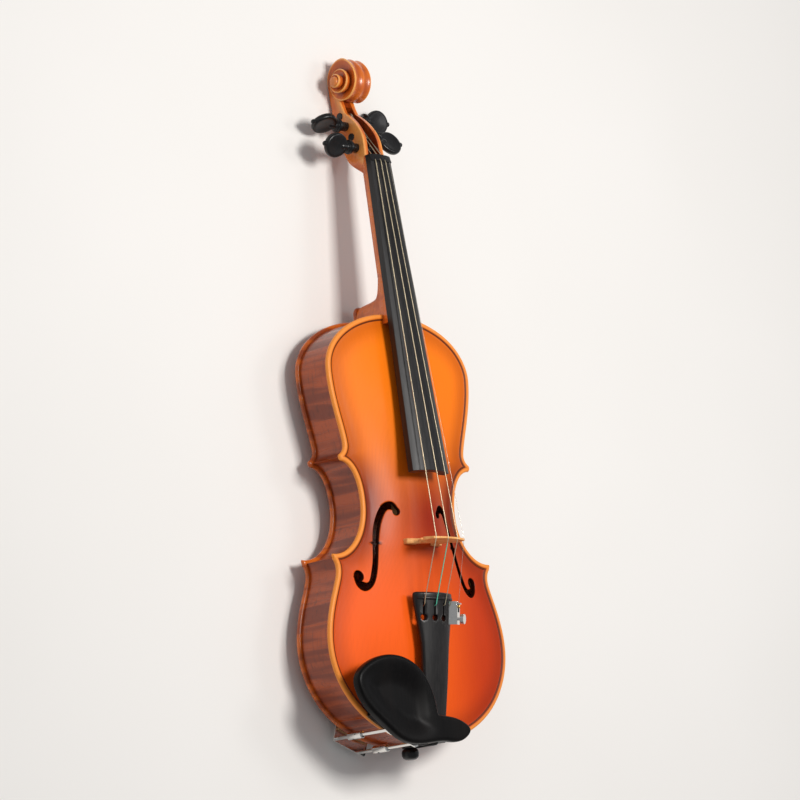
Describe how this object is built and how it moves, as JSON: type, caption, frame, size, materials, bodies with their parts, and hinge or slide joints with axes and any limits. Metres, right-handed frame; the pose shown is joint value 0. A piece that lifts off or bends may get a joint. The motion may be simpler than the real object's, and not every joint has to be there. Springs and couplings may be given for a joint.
{
  "type": "violin",
  "caption": "Full-size bowed violin: arched plates on ribs, scroll neck, turning pegs, bridge, tailpiece with a string tuner and clamped chin rest.",
  "frame": {"origin": "middle of the bounding box in X and Y, on the surface the back and the scroll rest on", "axes": "+X towards the treble side, +Y towards the scroll, +Z out of the belly"},
  "size_m": [0.208, 0.593, 0.0966],
  "materials": {
    "varnished_spruce": "satin varnish",
    "varnished_maple": "satin varnish",
    "purfling_wood": "matte",
    "bare_spruce": "matte",
    "bare_maple": "satin",
    "ebony": "satin",
    "string_steel": "satin",
    "nylon_cord": "satin",
    "cork": "matte",
    "brass": "satin",
    "nickel": "polished",
    "clamp_nickel": "polished"
  },
  "bodies": {
    "violin": {"belly": "varnished_spruce", "back": "varnished_maple", "belly_purfling": "purfling_wood", "back_purfling": "purfling_wood", "upper_rib_bass": "varnished_maple", "upper_rib_treble": "varnished_maple", "centre_rib_bass": "varnished_maple", "centre_rib_treble": "varnished_maple", "lower_rib": "varnished_maple", "neck_block": "bare_spruce", "end_block": "bare_spruce", "corner_blocks": "bare_spruce", "back_linings": "bare_spruce", "belly_linings": "bare_spruce", "bass_bar": "bare_spruce", "sound_post": "bare_spruce", "neck": "varnished_maple", "fingerboard": "ebony", "nut": "ebony", "saddle": "ebony", "end_button": "ebony", "bridge": "bare_maple", "tailpiece": "ebony", "tail_gut": "nylon_cord", "tail_gut_nuts": "brass", "g_string": "string_steel", "d_string": "string_steel", "a_string": "string_steel", "e_string": "string_steel", "chin_rest": "ebony", "chin_rest_cork": "cork", "clamp_bracket": "clamp_nickel", "clamp_screws": "clamp_nickel", "tuner_frame": "nickel", "tuner_pin": "nickel", "tuner_nut": "nickel"},
    "g_peg_body": {"g_peg": "ebony"},
    "d_peg_body": {"d_peg": "ebony"},
    "a_peg_body": {"a_peg": "ebony"},
    "e_peg_body": {"e_peg": "ebony"},
    "tuner_lever_body": {"tuner_lever": "nickel", "e_string_ball": "brass"},
    "tuner_screw_body": {"tuner_screw": "nickel"},
    "barrel_bass_body": {"clamp_barrel_bass": "clamp_nickel"},
    "barrel_treble_body": {"clamp_barrel_treble": "clamp_nickel"},
    "clamp_foot_body": {"clamp_foot": "clamp_nickel", "clamp_foot_cork": "cork"}
  },
  "joints": [
    {"name": "g_peg_turn", "type": "hinge", "parent": "violin", "child": "g_peg_body", "pos_m": [0, 0.216, 0.03], "axis": [-1, 0, 0], "continuous": true},
    {"name": "e_peg_turn", "type": "hinge", "parent": "violin", "child": "e_peg_body", "pos_m": [0, 0.2265, 0.0248], "axis": [1, 0, 0], "continuous": true},
    {"name": "d_peg_turn", "type": "hinge", "parent": "violin", "child": "d_peg_body", "pos_m": [0, 0.237, 0.0185], "axis": [-1, 0, 0], "continuous": true},
    {"name": "a_peg_turn", "type": "hinge", "parent": "violin", "child": "a_peg_body", "pos_m": [0, 0.247, 0.0117], "axis": [1, 0, 0], "continuous": true},
    {"name": "tuner_screw_travel", "type": "slide", "parent": "violin", "child": "tuner_screw_body", "axis": [-0.4412, 0.1071, -0.891], "range_m": [0, 0.0016]},
    {"name": "tuner_lever_turn", "type": "hinge", "parent": "violin", "child": "tuner_lever_body", "pos_m": [0.0169, -0.17427, 0.0767], "axis": [0.8974, 0.0526, -0.438], "range_deg": [0, 14]},
    {"name": "clamp_foot_drop", "type": "slide", "parent": "violin", "child": "clamp_foot_body", "axis": [0, 0, -1], "range_m": [0, 0.004]},
    {"name": "barrel_bass_turn", "type": "hinge", "parent": "violin", "child": "barrel_bass_body", "pos_m": [-0.06192, -0.27746, 0.03], "axis": [0, 0, 1], "range_deg": [0, 1480]},
    {"name": "barrel_treble_turn", "type": "hinge", "parent": "violin", "child": "barrel_treble_body", "pos_m": [-0.03373, -0.28773, 0.03], "axis": [0, 0, 1], "range_deg": [0, 1480]}
  ],
  "couplings": [
    {"joint": "tuner_lever_turn", "follows": "tuner_screw_travel", "rad_per_m": 98.17},
    {"joint": "barrel_bass_turn", "follows": "clamp_foot_drop", "rad_per_m": 6283.2},
    {"joint": "barrel_treble_turn", "follows": "clamp_foot_drop", "rad_per_m": 6283.2}
  ]
}
